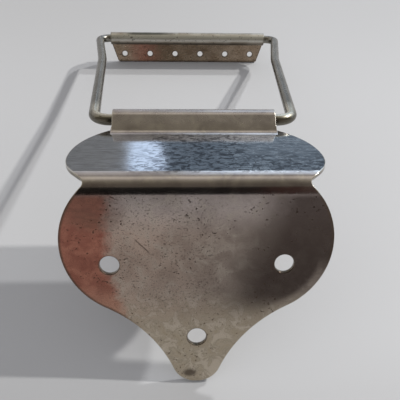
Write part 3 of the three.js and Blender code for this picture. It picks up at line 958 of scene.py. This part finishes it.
def light_the_room():
    """A room told by direction, which the metal mirrors: the angle in the plane across the hinge
    goes from the camera's side at 0, through overhead at 90, to the far side at 180 degrees. The
    camera itself sees a plain pale background, and diffuse light is plain too."""
    world = bpy.data.worlds.new("room")
    bpy.context.scene.world = world
    f = Finish(world)
    x, y, z = f.parts(f.add("TexCoord", output="Generated"))
    share = z.maths("ARCTAN2", y * -1) / math.pi
    stops = (
        (0.0, (0.29, 0.265, 0.25)), (0.034, (0.31, 0.285, 0.275)), (0.046, (0.44, 0.415, 0.41)),
        (0.055, (1.05, 1.0, 1.0)), (0.075, (0.95, 0.90, 0.89)), (0.10, (0.34, 0.31, 0.28)),
        (0.30, (0.28, 0.26, 0.22)), (0.36, (0.13, 0.115, 0.095)), (0.42, (0.16, 0.14, 0.115)),
        (0.49, (0.26, 0.24, 0.185)), (0.55, (0.42, 0.39, 0.33)), (0.61, (0.98, 0.93, 0.84)),
        (0.65, (0.98, 0.93, 0.85)), (0.69, (0.40, 0.38, 0.35)), (0.725, (0.40, 0.39, 0.37)),
        (0.76, (0.72, 0.70, 0.71)), (1.0, (0.72, 0.70, 0.71)),
    )
    room = f.add("ValToRGB", {"stops": stops}, {"Fac": share}, output="Color")

    # Past overhead: a bright patch on the right and a dim one on the middle line
    behind = share.rise(0.73, 0.76)
    room = f.mix(x.rise(0.01, 0.05) * behind, room, (1.15, 1.32, 1.55))
    room = f.mix(x.near(-0.01, 0.06) * behind, room, (0.30, 0.31, 0.33))

    # Low on the far side: a grey wall with a window left of the middle
    grey = f.mix(x.rise(-0.035, -0.025), (0.235, 0.235, 0.24), (0.165, 0.205, 0.255))
    wall = f.mix(x.band(-0.095, -0.089, -0.032, -0.026), grey, (0.95, 1.13, 1.42))
    seen = f.mix(share.rise(0.932, 0.946), room, wall)

    seen = f.mix(z.fall(-0.02, 0.0), seen, (0.55, 0.55, 0.55))
    seen = f.mix(f.ray("Diffuse"), seen, (0.50, 0.50, 0.525))
    seen = f.mix(f.ray("Camera"), seen, (0.62, 0.62, 0.635))
    f.add("OutputWorld", {}, {"Surface": f.add("Background", {}, {"Color": seen})})


def add_sun(name, shift, strength, colour):
    """A lamp whose shadows fall by the given shift in x and y for each unit of height."""
    lamp = bpy.data.lights.new(name, "SUN")
    lamp.energy, lamp.angle, lamp.color = strength, math.radians(LAMP_ANGLE), colour
    towards = Vector((-shift[0], -shift[1], 1))
    add_object(name, lamp).rotation_euler = towards.to_track_quat("Z", "Y").to_euler()


def hang_card():
    """A dark card beside the camera, which the bend mirrors as a black line and no camera sees:
    a sheet bowed along its width by half a sine, with its right end dark red."""
    left, right = CARD_ACROSS
    across, along = np.meshgrid(np.linspace(left, right, 45), np.linspace(*CARD_ALONG, 17))
    bow = CARD_BOW * np.sin(math.pi * (across - left) / (right - left))
    back, up = CARD_PLACE
    tilt = math.radians(CARD_TILT)
    y = back + along * math.sin(tilt) - bow
    points = np.stack([across, y, up + along * math.cos(tilt)], 2).reshape(-1, 3)
    index = np.arange(across.size).reshape(across.shape)
    corners = [index[:-1, :-1], index[:-1, 1:], index[1:, 1:], index[1:, :-1]]
    f = Finish(bpy.data.materials.new("dark_card"))
    x, _, _ = f.parts(f.place())
    colour = f.mix(x.rise(0.030, 0.040), (0.012, 0.012, 0.012), (0.10, 0.035, 0.028))
    faces = np.stack(corners, 2).reshape(-1, 4).tolist()
    card = add_mesh("card", points, faces, f.paint(colour, 0.9, 0.0))
    card.visible_camera = card.visible_diffuse = card.visible_shadow = False


def lay_table():
    """The table's top: rings of points whose radius grows with the square of their number,
    closed at the middle. Painted shade makes it a little darker on the left, at the back and at the
    front."""
    rings, spokes = 24, 96
    radius = TABLE_RADIUS * (np.arange(1, rings + 1) / rings) ** 2
    angles = FULL_TURN * np.arange(spokes) / spokes
    ring = np.stack([np.cos(angles), np.sin(angles), np.zeros(spokes)], 1)
    points = np.concatenate([[(0, 0, 0)], (radius[:, None, None] * ring).reshape(-1, 3)])
    index = 1 + np.arange(rings * spokes).reshape(rings, spokes)
    ahead = np.roll(index, -1, 1)
    faces = np.stack([index[:-1], index[1:], ahead[1:], ahead[:-1]], 2).reshape(-1, 4).tolist()
    faces += np.stack([np.zeros(spokes, int), index[0], ahead[0]], 1).tolist()
    f = Finish(bpy.data.materials.new("pale_table"))
    x, y, _ = f.parts(f.stretch(f.place(), 1000, 1000, 1000))
    # Painted shade: a little darker on the left, at the back and at the front
    pale = f.mix(x.rise(-90, 80), (0.545, 0.545, 0.54), (0.60, 0.60, 0.595))
    far = y.rise(30, 130) * (1 - x.rise(-60, 60) * 0.5)
    pale = f.mix((far * 0.9).either(y.fall(-105, -55)), pale, (0.49, 0.488, 0.48))
    add_mesh("table", points, faces, f.paint(pale, 0.6, 0.2))


def set_camera():
    """The camera where the photograph was taken from. It looks along its pitch and yaw, and its
    level line is turned about that way by the roll."""
    pitch, yaw, roll = (math.radians(angle) for angle in CAMERA_TURNS)
    level = Vector((math.cos(yaw), -math.sin(yaw), 0))
    ahead = Vector((math.sin(yaw), math.cos(yaw), 0)) * math.cos(pitch)
    ahead.z = -math.sin(pitch)
    right = level * math.cos(roll) + level.cross(ahead) * math.sin(roll)
    turned = Matrix((right, right.cross(ahead), -ahead)).transposed().to_4x4()
    camera = add_object("camera", bpy.data.cameras.new("camera"))
    camera.data.sensor_width = SENSOR_WIDTH
    camera.data.lens = SENSOR_WIDTH * FOCAL_LENGTH / PICTURE_WIDTH
    camera.data.clip_start, camera.data.clip_end = 0.01, 20
    camera.matrix_world = Matrix.Translation(Vector(CAMERA_PLACE) / 1000) @ turned
    bpy.context.scene.camera = camera


points, normals, faces, spots, gaps = end_plate()
plate_foot = (-TIP_TO_MIDDLE, PLATE_THICKNESS / 2 * math.sin(math.radians(PLATE_LEAN)))
plate = add_piece(
    "pressed_plate", set_down(points, -PLATE_LEAN, plate_foot), faces, spots, plate_finish(),
    set_down(normals, -PLATE_LEAN), gaps,
)
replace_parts(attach(plate, "end_plate"), "end_plate")

points, faces, spots = wire_loop()
points = set_down(points, -LOOP_SLOPE, HINGE_PLACE)
wire = add_piece("bent_wire", points, faces, spots, wire_finish())
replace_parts(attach(wire, "wire_loop"), "wire_loop")

points, normals, faces, spots, gaps = string_bar()
turn = -LOOP_SLOPE - BAR_TURN
bar = add_piece(
    "curled_bar", set_down(points, turn, BAR_PLACE), faces, spots, bar_finish(),
    set_down(normals, turn), gaps,
)
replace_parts(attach(bar, "string_bar"), "string_bar")

lay_table()
hang_card()
light_the_room()
for lamp in LAMPS:
    add_sun(*lamp)
set_camera()

bpy.context.scene.view_settings.view_transform = "Standard"
